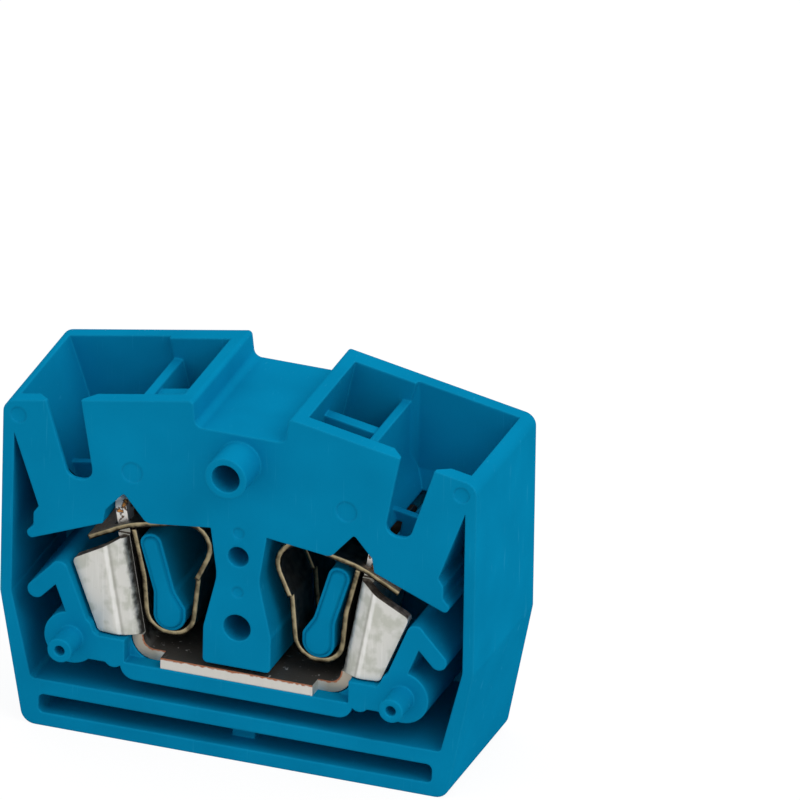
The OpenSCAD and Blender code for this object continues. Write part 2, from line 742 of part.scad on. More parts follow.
module tongue_recess() {
    low = bar_seat + vault_wire - past;
    high = tongue_z + tongue_play;
    slab(front_panel, rear) polygon([
        [plate_in(low) - tongue_play, low], [plate_out(low) + tongue_play, low],
        [plate_out(high) + tongue_play, high], [plate_in(high) - tongue_play, high]]);
}

// Notch in the front panel that opens each funnel to the front, bevelled on the funnel side
notch_in = funnel_start + notch_offset;
notch_out = notch_in + notch_width;
notch_z = bar_seat + notch_bottom;

module panel_notch() {
    high = ridge_height + past;
    slab(-past, front_panel + past) polygon(rounded([
        [notch_in + (high - notch_z) * tan(notch_inner_lean), high],
        [notch_in, notch_z, notch_radius], [notch_out, notch_z, notch_radius],
        [notch_out + (high - notch_z) * tan(notch_lean), high]]));
    intersection() {
        slab(notch_edge, front_panel + lap) above_roof(partition_drop);
        bevel_side(notch_in) rotate([0, notch_inner_lean, 0]) rotate([0, 0, notch_bevel])
            translate([0, -half, -half]) cube(2 * half);
        bevel_side(notch_out) rotate([0, notch_lean, 0]) rotate([0, 0, -notch_bevel])
            translate([-2 * half, -half, -half]) cube(2 * half);
        bevel_side(notch_in) rotate([-notch_bevel, 0, 0])
            translate([-half, -half, 0]) cube(2 * half);
    }
}

// Puts one side of the bevel at a bottom corner of the notch, behind its edge
module bevel_side(x) {
    translate([x, notch_edge - block_depth / 2, notch_z]) children();
}

// Long slot in the base, parted by a web that stands back from the front
slot_half = foot_half - slot_end_wall;

module base_slot() {
    module slot_half_outline(from) {
        top = slot_floor + slot_height;
        polygon(rounded([
            [from, slot_floor], [slot_half, slot_floor, slot_radius],
            [slot_half, top, slot_radius], [from, top]]));
    }
    both_sides() {
        slab(-past, slot_web_setback) slot_half_outline(-past);
        slab(0, rear) slot_half_outline(slot_web / 2);
    }
}

// Shallow marks of the ejector pins in the front faces
corner_mark_x = half - corner_mark_inset;
post_mark_z = (post_hole_high + bar_seat + vault_middle + post_hole_small) / 2;

module ejector_marks() {
    both_sides() {
        pin(panel_mark_x, panel_mark_z, 2 * panel_mark, -past, mark_depth);
        pin(corner_mark_x, roof(corner_mark_x) - corner_mark_inset, 2 * corner_mark, -past, mark_depth);
    }
    pin(0, post_mark_z, 2 * post_mark, -past, mark_depth);
    pin(0, (post_hole_high + post_hole_low) / 2, 2 * post_mark, -past, mark_depth);
}

module housing() {
    boss_socket = boss_d + 2 * socket_clearance;
    peg_socket = peg_d + 2 * socket_clearance;
    color("#0077a3") difference() {
        union() {
            difference() {
                slab(0, block_depth) block_outline();
                slab(-past, rear) chamber_outline();
            }
            ribs();
            pin(0, boss_height, boss_d, -boss_length, past);
            both_sides() pin(peg_offset, peg_height, peg_d, -peg_length, past);
        }
        both_sides() {
            shafts();
            funnel();
            rib_window();
            tongue_recess();
            panel_notch();
            pin(peg_offset, peg_height, peg_hole_d, -peg_length - past, peg_hole_depth - peg_length);
            pin(peg_offset, peg_height, peg_socket,
                block_depth - peg_length - socket_room, block_depth + past);
        }
        base_slot();
        ejector_marks();
        pin(0, boss_height, boss_hole_d, -boss_length - past, boss_hole_depth - boss_length);
        pin(0, boss_height, boss_socket, block_depth - boss_length - socket_room, block_depth + past);
        pin(0, post_hole_high, post_hole_small, -past, post_hole_depth);
        pin(0, post_hole_low, post_hole_large, -past, post_hole_depth);
    }
}

// Contact bar: one strip bent up at both ends, with tongues on top and a wing on each front edge

fold_radius = wing_bend + bar_t / 2;
fold_depth = wing_front + bar_t / 2 + crease_reach * tan(crease_turn);
plate_front = fold_depth + fold_radius * tan((90 - crease_turn) / 2);

// Outline of the bar through the depth, seen along X, with one tongue for each spring
module bar_side() {
    tongues = [for (depth = [spring_mid[1], spring_mid[0]]) each [
        [depth + tongue_w / 2, plate_z, plate_radius], [depth + tongue_w / 2, tongue_z, tongue_radius],
        [depth - tongue_w / 2, tongue_z, tongue_radius],
        [depth - tongue_w / 2, plate_z, plate_radius / 2]]];
    polygon(rounded(concat(
        [[0, 0], [bar_rear, 0], [bar_rear, plate_z, plate_radius]],
        tongues,
        [[plate_front, plate_z], [plate_front, wing_low_z], [0, wing_low_z]])));
}

// The strip is broad in the middle, where it reaches the front face, and narrow in the bends
module bar_strip() {
    difference() {
        intersection() {
            slab(bar_broad_front, block_depth) polygon(strip(bar_line(tongue_top + past), bar_t));
            translate([-half, -block_depth / 2, 0])
                rotate([90, 0, 90]) linear_extrude(2 * half) bar_side();
        }
        both_sides()
            translate([bar_broad_half, -past - block_depth / 2, 0])
                cube([half, bar_front + past, wing_low_z + lap]);
    }
}

// Plan of a wing, with X away from the plate and Y the depth: a bend at the plate, then a crease
module wing_plan() {
    wing_t = bar_t - 2 * bend_thinning;
    reach = wing_high_reach + past;
    crease_depth = wing_front + bar_t / 2;
    polygon(strip(rounded_line([
        [0, plate_front + lap], [0, fold_depth, fold_radius],
        [crease_reach, crease_depth, crease_radius + bar_t / 2],
        [reach, crease_depth + (reach - crease_reach) * tan(wing_turn)]]), wing_t));
}

module wing() {
    intersection() {
        translate([bar_half, -block_depth / 2, bar_mid]) rotate([0, bar_lean, 0])
            translate([0, 0, -bar_mid]) linear_extrude(ridge_height) wing_plan();
        slab(0, plate_front + 2 * lap) polygon(rounded(wing_points(0)));
    }
}

module contact_bar() {
    color("#d8d6d0") {
        bar_strip();
        both_sides() wing();
    }
}

// Clamping spring: a wide leg with a window, an arc, a waist, and a narrow leg round the bulb

module spring(depth) {
    leg_under = leg_z - (plate_in(leg_z) - crest_x) * tan(nose_fall) - spring_t;
    window_from = plate_in(leg_under) - window_clearance;
    window_to = plate_out(leg_z) + window_clearance;
    color("#8f8a80") {
        difference() {
            slab(depth - spring_w / 2, depth + spring_w / 2) polygon(strip(wide_line, spring_t));
            translate([window_from, depth - window_w / 2 - block_depth / 2, bar_seat])
                cube([window_to - window_from, window_w, leg_crest + past]);
        }
        slab(depth - neck_w / 2, depth + neck_w / 2) polygon(strip(narrow_line, spring_t));
    }
}

module spring_left_front() { mirror([1, 0, 0]) spring(spring_mid[0]); }
module spring_left_rear() { mirror([1, 0, 0]) spring(spring_mid[1]); }
module spring_right_front() { spring(spring_mid[0]); }
module spring_right_rear() { spring(spring_mid[1]); }

housing();
contact_bar();
spring_left_front();
spring_left_rear();
spring_right_front();
spring_right_rear();
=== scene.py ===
import math

import bmesh
import bpy
from mathutils import Matrix, Vector


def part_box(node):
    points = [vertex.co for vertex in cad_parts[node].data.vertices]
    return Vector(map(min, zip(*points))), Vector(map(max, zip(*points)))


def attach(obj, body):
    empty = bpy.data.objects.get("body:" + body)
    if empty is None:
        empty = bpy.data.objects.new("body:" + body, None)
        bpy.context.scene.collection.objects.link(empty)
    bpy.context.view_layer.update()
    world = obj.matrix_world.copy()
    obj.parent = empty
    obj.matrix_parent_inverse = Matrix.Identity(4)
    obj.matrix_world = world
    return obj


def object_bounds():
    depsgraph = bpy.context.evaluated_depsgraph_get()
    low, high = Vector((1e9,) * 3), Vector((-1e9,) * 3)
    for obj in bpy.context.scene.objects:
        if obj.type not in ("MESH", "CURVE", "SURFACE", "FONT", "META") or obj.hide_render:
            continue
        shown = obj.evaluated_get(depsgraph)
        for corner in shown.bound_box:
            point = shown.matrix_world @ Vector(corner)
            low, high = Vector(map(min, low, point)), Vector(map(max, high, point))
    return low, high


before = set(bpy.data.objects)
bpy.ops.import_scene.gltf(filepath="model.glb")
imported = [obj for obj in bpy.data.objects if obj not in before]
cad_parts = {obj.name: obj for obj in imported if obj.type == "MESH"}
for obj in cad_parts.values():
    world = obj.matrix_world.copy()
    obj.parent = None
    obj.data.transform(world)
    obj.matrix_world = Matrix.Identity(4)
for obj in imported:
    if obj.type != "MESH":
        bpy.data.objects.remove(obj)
cad_low, cad_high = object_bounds()

# Housing
# One injection-moulded shell of blue polyamide, open to the front, with funnels, shafts and ribs in it.
# It comes out of a finely eroded steel mould, so its faces are satin and its edges slightly rounded.

MM = 0.001
# Points as close as this are one point, before and after the edges are rounded
same_point = 0.0001 * MM
same_corner = 0.001 * MM
# Faces that turn by less are one flat face, and an edge that turns by more is a corner
flat_turn = math.radians(0.5)
corner_turn = math.radians(30)
# From 0.033 mm on, the outlines of the large faces would cross at the shortest edges of the shell
edge_radius = 0.025 * MM
edge_steps = 2


def linear(colour):
    """An sRGB hex colour as linear red, green, blue and alpha."""
    parts = [int(colour[i:i + 2], 16) / 255 for i in (1, 3, 5)]
    return [p / 12.92 if p <= 0.04045 else ((p + 0.055) / 1.055) ** 2.4 for p in parts] + [1.0]


def node(tree, kind, sockets=None, **settings):
    """Adds a shader node. Settings go on the node itself, and each socket takes a value, a link or a node.

    A socket is given by its name, or by its number where several in use have the same name.
    """
    added = tree.nodes.new("ShaderNode" + kind)
    for name, value in settings.items():
        setattr(added, name, value)
    in_use = {socket.name: socket for socket in reversed(added.inputs) if socket.enabled}
    for name, value in (sockets or {}).items():
        socket = added.inputs[name] if isinstance(name, int) else in_use[name]
        if isinstance(value, bpy.types.Node):
            value = next(output for output in value.outputs if output.enabled)
        if isinstance(value, bpy.types.NodeSocket):
            tree.links.new(value, socket)
        else:
            socket.default_value = value
    return added


def new_material(name):
    """An empty node material and its tree."""
    material = bpy.data.materials.new(name)
    material.use_nodes = True
    material.node_tree.nodes.clear()
    return material, material.node_tree


def join_faces(piece):
    """Joins the loose triangles of a piece into one skin, and lets go of the normals they came with."""
    attributes = piece.data.attributes
    for name in ("custom_normal", "sharp_edge", "sharp_face"):
        if name in attributes:
            attributes.remove(attributes[name])
    weld = piece.modifiers.new("join the faces", "WELD")
    weld.merge_threshold = same_point


def round_edges(piece, radius):
    """Gives a moulded piece the small edge radius of the real one, and smooth arcs, by modifiers alone."""
    join_faces(piece)
    whole = piece.modifiers.new("whole flat faces", "DECIMATE")
    whole.decimate_type = "DISSOLVE"
    whole.angle_limit = flat_turn
    bevel = piece.modifiers.new("edge radius", "BEVEL")
    bevel.width = radius
    bevel.segments = edge_steps
    bevel.limit_method = "ANGLE"
    bevel.angle_limit = corner_turn
    bevel.use_clamp_overlap = False
    bevel.miter_outer = "MITER_PATCH"
    merge = piece.modifiers.new("one point at each corner", "WELD")
    merge.merge_threshold = same_corner
    shading = piece.modifiers.new("flat faces stay flat", "WEIGHTED_NORMAL")
    shading.keep_sharp = True


def dress(piece, material):
    """Puts one finish on a piece, in the place of the plain one."""
    piece.data.materials.clear()
    piece.data.materials.append(material)


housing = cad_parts["housing"]
round_edges(housing, edge_radius)

# Moulded polyamide: satin and dyed through, with a faint cloud where the melt flowed and thin scuffs from
# Its edges are painted a little paler than its faces, as a painted highlight.
# Its shine takes the colour of the dye, so a blue gloss is mixed in and the shader's own white one is off.
# The grain of the mould and the scuffs are too fine to show, and are drawn as coarse as they need to be.
melt_cloud = 5 * MM
scuff_size = (0.12 * MM, 0.5 * MM, 3 * MM)
scuff_turn_radians = (0.6, 0.9, 0.4)
rounding_and_highlight_radius = 0.2 * MM
mould_grain = 0.25 * MM
grain_depth = 0.02 * MM
gloss_share = 0.12
polyamide, tree = new_material("moulded_polyamide")
place = node(tree, "TexCoord").outputs["Object"]
flow = node(tree, "TexNoise", {"Vector": place, "Scale": 1 / melt_cloud, "Detail": 2.0})
cloud = node(tree, "MapRange", {"Value": flow, "From Min": 0.3, "From Max": 0.7})
dye = node(tree, "Mix", {
    "Factor": cloud,
    "A": linear("#037BA5"),
    "B": linear("#0485B1"),
}, data_type="RGBA")
handled = node(tree, "Mapping", {
    "Vector": place,
    "Rotation": scuff_turn_radians,
    "Scale": [1 / size for size in scuff_size],
})
scuff = node(tree, "TexNoise", {"Vector": handled, "Scale": 1.0, "Detail": 2.0})
scuffed = node(tree, "MapRange", {"Value": scuff, "From Min": 0.66, "From Max": 0.76, "To Max": 0.3})
dye = node(tree, "Mix", {"Factor": scuffed, "A": dye, "B": linear("#2E9FC9")}, data_type="RGBA")
rounded = node(tree, "Bevel", {"Radius": rounding_and_highlight_radius}, samples=8)
face = node(tree, "NewGeometry").outputs["Normal"]
turn = node(tree, "VectorMath", {0: rounded, 1: face}, operation="DOT_PRODUCT")
# Painted highlight: the edges, found by the rounded normal, are painted paler than the faces
painted_edge_highlight = node(tree, "MapRange", {"Value": turn, "From Min": 0.995, "From Max": 0.8, "To Max": 0.5})
dye = node(tree, "Mix", {"Factor": painted_edge_highlight, "A": dye, "B": linear("#1A97C4")}, data_type="RGBA")
grain = node(tree, "TexNoise", {"Vector": place, "Scale": 1 / mould_grain, "Detail": 3.0})
satin = node(tree, "MapRange", {"Value": grain, "To Min": 0.4, "To Max": 0.6})
skin = node(tree, "Bump", {"Height": grain, "Strength": 0.05, "Distance": grain_depth, "Normal": rounded})
body = node(tree, "BsdfPrincipled", {
    "Base Color": dye,
    "Roughness": satin,
    "Normal": skin,
    "Specular IOR Level": 0.0,
})
gloss = node(tree, "BsdfGlossy", {"Color": linear("#0C93C4"), "Roughness": satin, "Normal": skin})
plastic = node(tree, "MixShader", {0: gloss_share, 1: body, 2: gloss})
node(tree, "OutputMaterial", {"Surface": plastic})
dress(housing, polyamide)

# Ends of the spring posts
# Each post ends in a low raised pad with sloping sides, over which the spring is slipped on.
# It is one moulding with the shell, in the same polyamide, and grows out of the flat end of the post.

post_end = -3.8 * MM
end_tolerance = 0.01 * MM
pad_margin = 0.15 * MM
pad_slope = 0.15 * MM
pad_height = 0.22 * MM
pad_root = 0.1 * MM
pad_edge_radius = 0.06 * MM


def add_object(name, data):
    """A new object with these data, in the scene."""
    added = bpy.data.objects.new(name, data)
    bpy.context.scene.collection.objects.link(added)
    return added


for side in ("left", "right"):
    # The flat end of the post is the part of the shell at that depth inside the loop of the spring
    loop_low, loop_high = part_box(f"spring_{side}_front")
    work = bmesh.new()
    work.from_mesh(housing.data)
    bmesh.ops.remove_doubles(work, verts=work.verts, dist=same_point)
    elsewhere = []
    for facet in work.faces:
        middle = facet.calc_center_median()
        on_end = all(abs(corner.co.y - post_end) < end_tolerance for corner in facet.verts)
        in_loop = loop_low.x < middle.x < loop_high.x and loop_low.z < middle.z < loop_high.z
        if not (on_end and in_loop):
            elsewhere.append(facet)
    bmesh.ops.delete(work, geom=elsewhere, context="FACES")
    bmesh.ops.dissolve_limit(work, angle_limit=flat_turn, verts=work.verts, edges=work.edges)
    # Inside a margin, it is sunk a little into the post for the foot of the pad and raised for its top
    margin = bmesh.ops.inset_region(
        work, faces=work.faces[:], thickness=pad_margin, use_boundary=True, use_even_offset=True)
    bmesh.ops.delete(work, geom=margin["faces"], context="FACES")
    foot = work.verts[:]
    grown = bmesh.ops.extrude_face_region(work, geom=work.faces[:], use_keep_orig=True)["geom"]
    for corner in foot:
        corner.co.y += pad_root
    top = [facet for facet in grown if isinstance(facet, bmesh.types.BMFace)]
    bmesh.ops.recalc_face_normals(work, faces=work.faces)
    bmesh.ops.inset_region(
        work, faces=top, thickness=pad_slope, depth=pad_height, use_boundary=True, use_even_offset=True)
    # The faces go into the mesh in a fixed order, so that the pad comes out the same each time
    work.verts.index_update()
    outlines = []
    for facet in work.faces:
        outline = [corner.index for corner in facet.verts]
        first = outline.index(min(outline))
        outlines.append(outline[first:] + outline[:first])
    pad_mesh = bpy.data.meshes.new(f"post_pad_{side}")
    pad_mesh.from_pydata([corner.co[:] for corner in work.verts], [], sorted(outlines))
    work.free()
    pad = add_object(f"post_pad_{side}", pad_mesh)
    round_edges(pad, pad_edge_radius)
    dress(pad, polyamide)
    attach(pad, "root")

# Contact bar
# One stamped and bent strip of tin-plated copper, lying on its seat with both ends turned up.
# It was sheared from plated sheet, so its narrow edges show copper under a smear of tin.

strip_thickness = 0.7 * MM
bend_radius = 0.7 * MM
bend_place = 5.47 * MM
neck_start = 4.8 * MM
neck_full = 5.4 * MM
wing_rise = 1.5 * MM
tip_start = 2.1 * MM
tip_full = 1.6 * MM
bar_low, bar_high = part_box("contact_bar")
strip_top = bar_low.z + strip_thickness
wing_bottom = bar_low.z + wing_rise
row_middle = (bar_low.y + bar_high.y) / 2


def smooth_arcs(piece):
    """Shades the arcs of a bent piece smooth and leaves its corners sharp, by modifiers alone."""
    join_faces(piece)
    corners = piece.modifiers.new("sharp corners", "EDGE_SPLIT")
    corners.split_angle = corner_turn


contact_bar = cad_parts["contact_bar"]
smooth_arcs(contact_bar)

# Tin plating: pale and half matt, with soft patches and faint streaks along the plates. The oxide on it
# scatters part of the light, so it is only partly metallic.
streak_size = (0.2 * MM, 0.2 * MM, 4 * MM)
patch_size = 1.2 * MM
tin, tree = new_material("tin_plated_copper")
source = node(tree, "TexCoord")
place = source.outputs["Object"]
spot = node(tree, "SeparateXYZ", {"Vector": place})
facing = node(tree, "SeparateXYZ", {"Vector": source.outputs["Normal"]})
drawn = node(tree, "Mapping", {"Vector": place, "Scale": [1 / size for size in streak_size]})
streak = node(tree, "TexNoise", {"Vector": drawn, "Scale": 1.0, "Detail": 4.0})
patch = node(tree, "TexNoise", {"Vector": place, "Scale": 1 / patch_size, "Detail": 3.0})
cloudy = node(tree, "MapRange", {"Value": patch, "From Min": 0.44, "From Max": 0.56})
plate = node(tree, "Mix", {
    "Factor": cloudy,
    "A": linear("#BFC0B6"),
    "B": linear("#D6D5CF"),
}, data_type="RGBA")
bright = node(tree, "MapRange", {"Value": streak, "From Min": 0.56, "From Max": 0.7, "To Max": 0.35})
plate = node(tree, "Mix", {"Factor": bright, "A": plate, "B": linear("#EEEDE9")}, data_type="RGBA")

# The way a face looks: 0 on a wing outside its crease, about -0.5 inside it, and -1 on the end plate.
# Along the crease the tin is painted bright, as a painted highlight, with a thin grey line of painted shade
# on its inner side.
crease_turn = -0.2
groove_turn = -0.36
half_side = node(tree, "Math", {0: spot.outputs["X"]}, operation="SIGN")
inward = node(tree, "Math", {0: facing.outputs["X"], 1: half_side}, operation="MULTIPLY")
from_crease = node(tree, "Math", {0: inward, 1: crease_turn}, operation="SUBTRACT")
from_crease = node(tree, "Math", {0: from_crease}, operation="ABSOLUTE")
# Painted highlight along the crease
painted_crease_highlight = node(tree, "MapRange", {"Value": from_crease, "From Min": 0.14, "From Max": 0.05, "To Max": 1.1})
painted_crease_highlight = node(tree, "Math", {0: painted_crease_highlight, 1: streak}, operation="MULTIPLY")
plate = node(tree, "Mix", {"Factor": painted_crease_highlight, "A": plate, "B": linear("#F6F5F2")}, data_type="RGBA")
from_groove = node(tree, "Math", {0: inward, 1: groove_turn}, operation="SUBTRACT")
from_groove = node(tree, "Math", {0: from_groove}, operation="ABSOLUTE")
# Painted shade: a thin grey line on the inner side of the crease
painted_groove_shade = node(tree, "MapRange", {"Value": from_groove, "From Min": 0.08, "From Max": 0.02, "To Max": 0.5})
plate = node(tree, "Mix", {"Factor": painted_groove_shade, "A": plate, "B": linear("#8E8C85")}, data_type="RGBA")

# From the bend between wing and end plate on, the end plate is painted dark with a jagged border, as
# painted shade
jagged_size = 0.5 * MM
jagged_reach = -0.6
jagged_noise = node(tree, "TexNoise", {"Vector": place, "Scale": 1 / jagged_size, "Detail": 3.0})
border = node(tree, "Math", {0: jagged_noise, 1: jagged_reach, 2: inward}, operation="MULTIPLY_ADD")
# Painted shade over the end plate, chosen by the way its faces turn
painted_end_plate_shade = node(tree, "MapRange", {"Value": border, "From Min": -0.96, "From Max": -1.24, "To Max": 0.95})
plate = node(tree, "Mix", {"Factor": painted_end_plate_shade, "A": plate, "B": linear("#383532")}, data_type="RGBA")

# The upper side of the flat strip is painted dark, as painted shade, with a few bright scuffs
strip_scuff = 0.35 * MM
scuff = node(tree, "TexNoise", {"Vector": place, "Scale": 1 / strip_scuff, "Detail": 5.0})
scuffed = node(tree, "MapRange", {"Value": scuff, "From Min": 0.66, "From Max": 0.72})
shaded_top_and_scuffs = node(tree, "Mix", {
    "Factor": scuffed,
    "A": linear("#5C5954"),
    "B": linear("#E4E2DC"),
}, data_type="RGBA")
upward = node(tree, "MapRange", {"Value": facing.outputs["Z"], "From Min": 0.35, "From Max": 0.6})
down_here = node(tree, "MapRange", {
    "Value": spot.outputs["Z"],
    "From Min": wing_bottom,
    "From Max": strip_top,
})
# Painted shade on the upward faces of the flat strip
painted_top_shade = node(tree, "Math", {0: upward, 1: down_here}, operation="MULTIPLY")
plate = node(tree, "Mix", {"Factor": painted_top_shade, "A": plate, "B": shaded_top_and_scuffs}, data_type="RGBA")

# Depth of a point below the inner face of the strip, which runs flat and then round the bend
outward = node(tree, "Math", {0: spot.outputs["X"]}, operation="ABSOLUTE")
past_bend = node(tree, "Math", {0: outward, 1: bend_place}, operation="SUBTRACT")
past_bend = node(tree, "Math", {0: past_bend, 1: 0.0}, operation="MAXIMUM")
below = node(tree, "Math", {0: strip_top + bend_radius, 1: spot.outputs["Z"]}, operation="SUBTRACT")
reach = node(tree, "CombineXYZ", {"X": past_bend, "Z": below})
reach = node(tree, "VectorMath", {0: reach}, operation="LENGTH")
depth = node(tree, "Math", {0: reach, 1: bend_radius}, operation="SUBTRACT")

# Sheared edges of the flat strip: smeared tin, browner round the necks, with a broken line of bare copper
# along the inner face
tear_size = 0.25 * MM
copper_least = 0.04 * MM
copper_most = 0.16 * MM
copper_blur = 0.03 * MM
ragged = node(tree, "TexNoise", {"Vector": place, "Scale": 1 / tear_size, "Detail": 5.0})
copper_line = node(tree, "MapRange", {
    "Value": ragged,
    "From Min": 0.3,
    "From Max": 0.7,
    "To Min": copper_least,
    "To Max": copper_most,
})
bare = node(tree, "Math", {0: copper_line, 1: depth}, operation="SUBTRACT")
bare = node(tree, "MapRange", {"Value": bare, "From Min": -copper_blur, "From Max": copper_blur})
neck = node(tree, "MapRange", {"Value": outward, "From Min": neck_start, "From Max": neck_full})
smear = node(tree, "Mix", {
    "Factor": neck,
    "A": linear("#D2CFC8"),
    "B": linear("#B3A999"),
}, data_type="RGBA")
sheared = node(tree, "Mix", {"Factor": bare, "A": smear, "B": linear("#A0674A")}, data_type="RGBA")
sideways = node(tree, "Math", {0: facing.outputs["Y"]}, operation="ABSOLUTE")
flank = node(tree, "MapRange", {"Value": sideways, "From Min": 0.5, "From Max": 0.7})
below_wing = node(tree, "Math", {0: spot.outputs["Z"], 1: wing_bottom}, operation="LESS_THAN")
flank = node(tree, "Math", {0: flank, 1: below_wing}, operation="MULTIPLY")
plate = node(tree, "Mix", {"Factor": flank, "A": plate, "B": sheared}, data_type="RGBA")

# Sheared upper edges of the wings: dull brown
above_wing = node(tree, "Math", {0: spot.outputs["Z"], 1: wing_bottom}, operation="GREATER_THAN")
upper_edge = node(tree, "Math", {0: upward, 1: above_wing}, operation="MULTIPLY")
worn = node(tree, "MapRange", {"Value": jagged_noise, "From Min": 0.42, "From Max": 0.6})
brown = node(tree, "Mix", {
    "Factor": worn,
    "A": linear("#5E534B"),
    "B": linear("#8F8478"),
}, data_type="RGBA")
plate = node(tree, "Mix", {"Factor": upper_edge, "A": plate, "B": brown}, data_type="RGBA")

# Ends of the tongues: in the front row bright white, partly a painted highlight, with flecks of bare copper
# in a dark burr that is partly painted shade, and in the rear row painted dark, as painted shade. The
# flecks are drawn coarser than they are, so that they show.
fleck_size = 0.45 * MM
tongue_end = node(tree, "MapRange", {
    "Value": spot.outputs["Z"],
    "From Min": bar_high.z - tip_start,
    "From Max": bar_high.z - tip_full,
})
fleck = node(tree, "TexNoise", {"Vector": place, "Scale": 1 / fleck_size, "Detail": 2.0})
burr_and_shade = node(tree, "MapRange", {"Value": fleck, "From Min": 0.4, "From Max": 0.44})
tip = node(tree, "Mix", {
    "Factor": burr_and_shade,
    "A": linear("#E0974F"),
    "B": linear("#5A4A3C"),
}, data_type="RGBA")
# Bright white on the front tongue ends, partly a painted highlight
white_and_highlight = node(tree, "MapRange", {"Value": fleck, "From Min": 0.46, "From Max": 0.5})
tip = node(tree, "Mix", {"Factor": white_and_highlight, "A": tip, "B": linear("#F6F2EA")}, data_type="RGBA")
# Painted shade: the tongue ends of the rear row are painted dark
rear = node(tree, "Math", {0: spot.outputs["Y"], 1: row_middle}, operation="GREATER_THAN")
tip = node(tree, "Mix", {"Factor": rear, "A": tip, "B": linear("#3A342E")}, data_type="RGBA")
plate = node(tree, "Mix", {"Factor": tongue_end, "A": plate, "B": tip}, data_type="RGBA")

# The streaks and patches are felt in the shine too, and the corners are slightly rolled over
rolled_corner = 0.05 * MM
dent_depth = 0.03 * MM
shine = node(tree, "MapRange", {
    "Value": streak,
    "From Min": 0.3,
    "From Max": 0.7,
    "To Min": 0.34,
    "To Max": 0.5,
})
corners = node(tree, "Bevel", {"Radius": rolled_corner}, samples=6)
dents = node(tree, "Math", {0: patch, 1: streak}, operation="ADD")
dents = node(tree, "Bump", {"Height": dents, "Strength": 0.12, "Distance": dent_depth, "Normal": corners})
plating = node(tree, "BsdfPrincipled", {
    "Base Color": plate,
    "Metallic": 0.6,
    "Roughness": shine,
    "Normal": dents,
    "Specular IOR Level": 0.2,
})
node(tree, "OutputMaterial", {"Surface": plating})
dress(contact_bar, tin)

# Clamping springs
# Four bent strips of rolled spring steel, each looped round its post with its tongue in its own window.
# They are slit from wide sheet and bent cold, and hold themselves between the bar, post and roof.

# Rolled spring steel: dark rolled faces and straw-brown slit edges. An edge is painted pale on the side
# that leans up to the right, towards the light, and dark on the other, as a painted highlight and painted
# shade.
roll_size = 0.5 * MM
slit_corner = 0.2 * MM
painted_light_side = (0.5, 0.0, 0.85)
steel, tree = new_material("rolled_spring_steel")
source = node(tree, "TexCoord")
place = source.outputs["Object"]
facing = node(tree, "SeparateXYZ", {"Vector": source.outputs["Normal"]})
corners = node(tree, "Bevel", {"Radius": slit_corner}, samples=8)
# Painted highlight and shade on the slit edges, by a fixed direction up to the right
lean = node(tree, "VectorMath", {0: corners, 1: painted_light_side}, operation="DOT_PRODUCT")
painted_edge_light = node(tree, "MapRange", {"Value": lean, "From Min": -0.14, "From Max": 0.2})
roll = node(tree, "TexNoise", {"Vector": place, "Scale": 1 / roll_size, "Detail": 3.0})
uneven = node(tree, "MapRange", {
    "Value": roll,
    "From Min": 0.35,
    "From Max": 0.65,
    "To Min": -0.25,
    "To Max": 0.25,
})
painted_edge_light = node(tree, "Math", {0: painted_edge_light, 1: uneven}, operation="ADD", use_clamp=True)
slit = node(tree, "Mix", {
    "Factor": painted_edge_light,
    "A": linear("#241E14"),
    "B": linear("#B3A582"),
}, data_type="RGBA")
patina = node(tree, "MapRange", {"Value": roll, "From Min": 0.35, "From Max": 0.65})
rolled = node(tree, "Mix", {
    "Factor": patina,
    "A": linear("#4E4A43"),
    "B": linear("#76716A"),
}, data_type="RGBA")
sideways = node(tree, "Math", {0: facing.outputs["Y"]}, operation="ABSOLUTE")
flank = node(tree, "MapRange", {"Value": sideways, "From Min": 0.4, "From Max": 0.7})
tone = node(tree, "Mix", {"Factor": flank, "A": rolled, "B": slit}, data_type="RGBA")

# The nose outside the tongue is scuffed on top by the screwdriver, to a matt grey-brown. The scratches are
# drawn coarser than they are, so that they show.
nose_start = 7.2 * MM
nose_full = 7.8 * MM
scratch_size = 0.15 * MM
spot = node(tree, "SeparateXYZ", {"Vector": place})
outward = node(tree, "Math", {0: spot.outputs["X"]}, operation="ABSOLUTE")
nose = node(tree, "MapRange", {"Value": outward, "From Min": nose_start, "From Max": nose_full})
upper = node(tree, "MapRange", {"Value": facing.outputs["Z"], "From Min": 0.5, "From Max": 0.7})
scuffed = node(tree, "Math", {0: nose, 1: upper}, operation="MULTIPLY")
scratch = node(tree, "TexNoise", {"Vector": place, "Scale": 1 / scratch_size, "Detail": 4.0})
scratch = node(tree, "MapRange", {"Value": scratch, "From Min": 0.4, "From Max": 0.6})
grey = node(tree, "Mix", {
    "Factor": scratch,
    "A": linear("#7D6A53"),
    "B": linear("#9C8670"),
}, data_type="RGBA")
tone = node(tree, "Mix", {"Factor": scuffed, "A": tone, "B": grey}, data_type="RGBA")
metal = node(tree, "MapRange", {"Value": scuffed, "To Min": 0.9, "To Max": 0.35})
shine = node(tree, "MapRange", {"Value": roll, "To Min": 0.28, "To Max": 0.42})
spring_strip = node(tree, "BsdfPrincipled", {
    "Base Color": tone,
    "Metallic": metal,
    "Roughness": shine,
    "Normal": corners,
})
node(tree, "OutputMaterial", {"Surface": spring_strip})
for side in ("left", "right"):
    for row in ("front", "rear"):
        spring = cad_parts[f"spring_{side}_{row}"]
        smooth_arcs(spring)
        dress(spring, steel)

# Floor and room light
# A plain white studio floor and an even white room, with one large soft lamp above the front right.

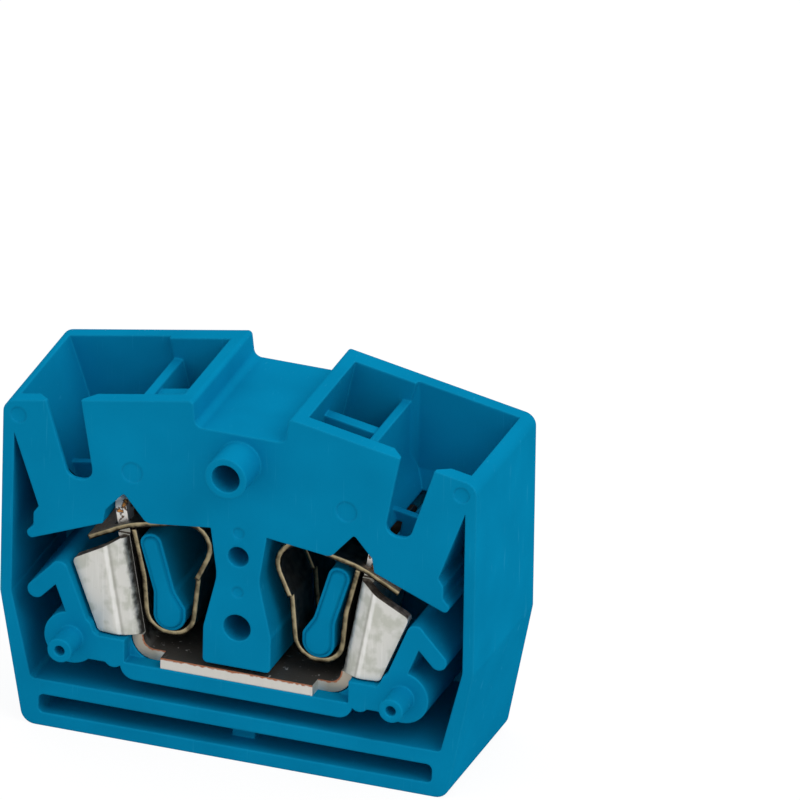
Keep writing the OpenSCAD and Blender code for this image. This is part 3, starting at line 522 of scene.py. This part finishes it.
floor_half = 400 * MM
floor_mesh = bpy.data.meshes.new("floor")
floor_mesh.from_pydata(
    [(-floor_half, -floor_half, 0), (floor_half, -floor_half, 0),
     (floor_half, floor_half, 0), (-floor_half, floor_half, 0)],
    [], [(0, 1, 2, 3)],
)
floor = add_object("floor", floor_mesh)


def seen_directly(tree):
    """1 where the camera, a reflection or a clear piece looks, and 0 for the light on the object."""
    path = node(tree, "LightPath")
    seen = path.outputs["Is Camera Ray"]
    for ray in ("Is Glossy Ray", "Is Transmission Ray"):
        seen = node(tree, "Math", {0: seen, 1: path.outputs[ray]}, operation="MAXIMUM")
    return seen


# Matt white paper: white to the camera and in reflections, with the shadow of the block still on it.
glow_share = 0.8
glow_strength = 1.13
paper, tree = new_material("matt_white_paper")
share = node(tree, "Math", {0: seen_directly(tree), 1: glow_share}, operation="MULTIPLY")
sheet = node(tree, "BsdfDiffuse", {"Color": linear("#CCCCCC")})
glow = node(tree, "Emission", {"Color": linear("#FFFFFF"), "Strength": glow_strength})
mixed = node(tree, "MixShader", {0: share, 1: sheet, 2: glow})
node(tree, "OutputMaterial", {"Surface": mixed})
floor_mesh.materials.append(paper)

room_strength = 0.84
white_strength = 1.0
world = bpy.data.worlds.new("white_room")
bpy.context.scene.world = world
world.use_nodes = True
tree = world.node_tree
tree.nodes.clear()
room = node(tree, "Background", {"Color": linear("#FFFFFF"), "Strength": room_strength})
white = node(tree, "Background", {"Color": linear("#FFFFFF"), "Strength": white_strength})
mixed = node(tree, "MixShader", {0: seen_directly(tree), 1: room, 2: white})
node(tree, "OutputWorld", {"Surface": mixed})

lamp_width = 200 * MM
lamp_watts = 0.33
lamp_place = Vector((200, -100, 240)) * MM
centre = (cad_low + cad_high) / 2
lamp_data = bpy.data.lights.new("soft_box", "AREA")
lamp_data.shape = "DISK"
lamp_data.size = lamp_width
lamp_data.energy = lamp_watts
lamp = add_object("soft_box", lamp_data)
lamp.location = centre + lamp_place
lamp.rotation_mode = "QUATERNION"
lamp.rotation_quaternion = (-lamp_place).to_track_quat("-Z", "Y")

# Camera
# A long lens far away, so parallel edges stay parallel. It looks down on the open front from the right.

view_azimuth = math.radians(20.0)
view_elevation = math.radians(26.87)
view_roll = math.radians(1.01)
frame_pixels = 800
pixels_per_mm = 17.0745
# The point 11 mm above the middle of the base, and the pixel of the photograph that it falls on
aim_point = Vector((0, 0, 11)) * MM
aim_pixel = (267.3, 557.2)
camera_distance = 300 * MM

forward = Vector((
    -math.sin(view_azimuth) * math.cos(view_elevation),
    math.cos(view_azimuth) * math.cos(view_elevation),
    -math.sin(view_elevation),
))
level = Vector((math.cos(view_azimuth), math.sin(view_azimuth), 0))
upright = level.cross(forward)
right = level * math.cos(view_roll) + upright * math.sin(view_roll)
up = upright * math.cos(view_roll) - level * math.sin(view_roll)
pixel = MM / pixels_per_mm
camera_data = bpy.data.cameras.new("camera")
camera_data.type = "ORTHO"
camera_data.ortho_scale = frame_pixels * pixel
camera = add_object("camera", camera_data)
camera.matrix_world = Matrix.Translation(
    aim_point
    + right * (frame_pixels / 2 - aim_pixel[0]) * pixel
    - up * (frame_pixels / 2 - aim_pixel[1]) * pixel
    - forward * camera_distance
) @ Matrix((right, up, -forward)).transposed().to_4x4()
bpy.context.scene.camera = camera
bpy.context.scene.view_settings.view_transform = "Standard"
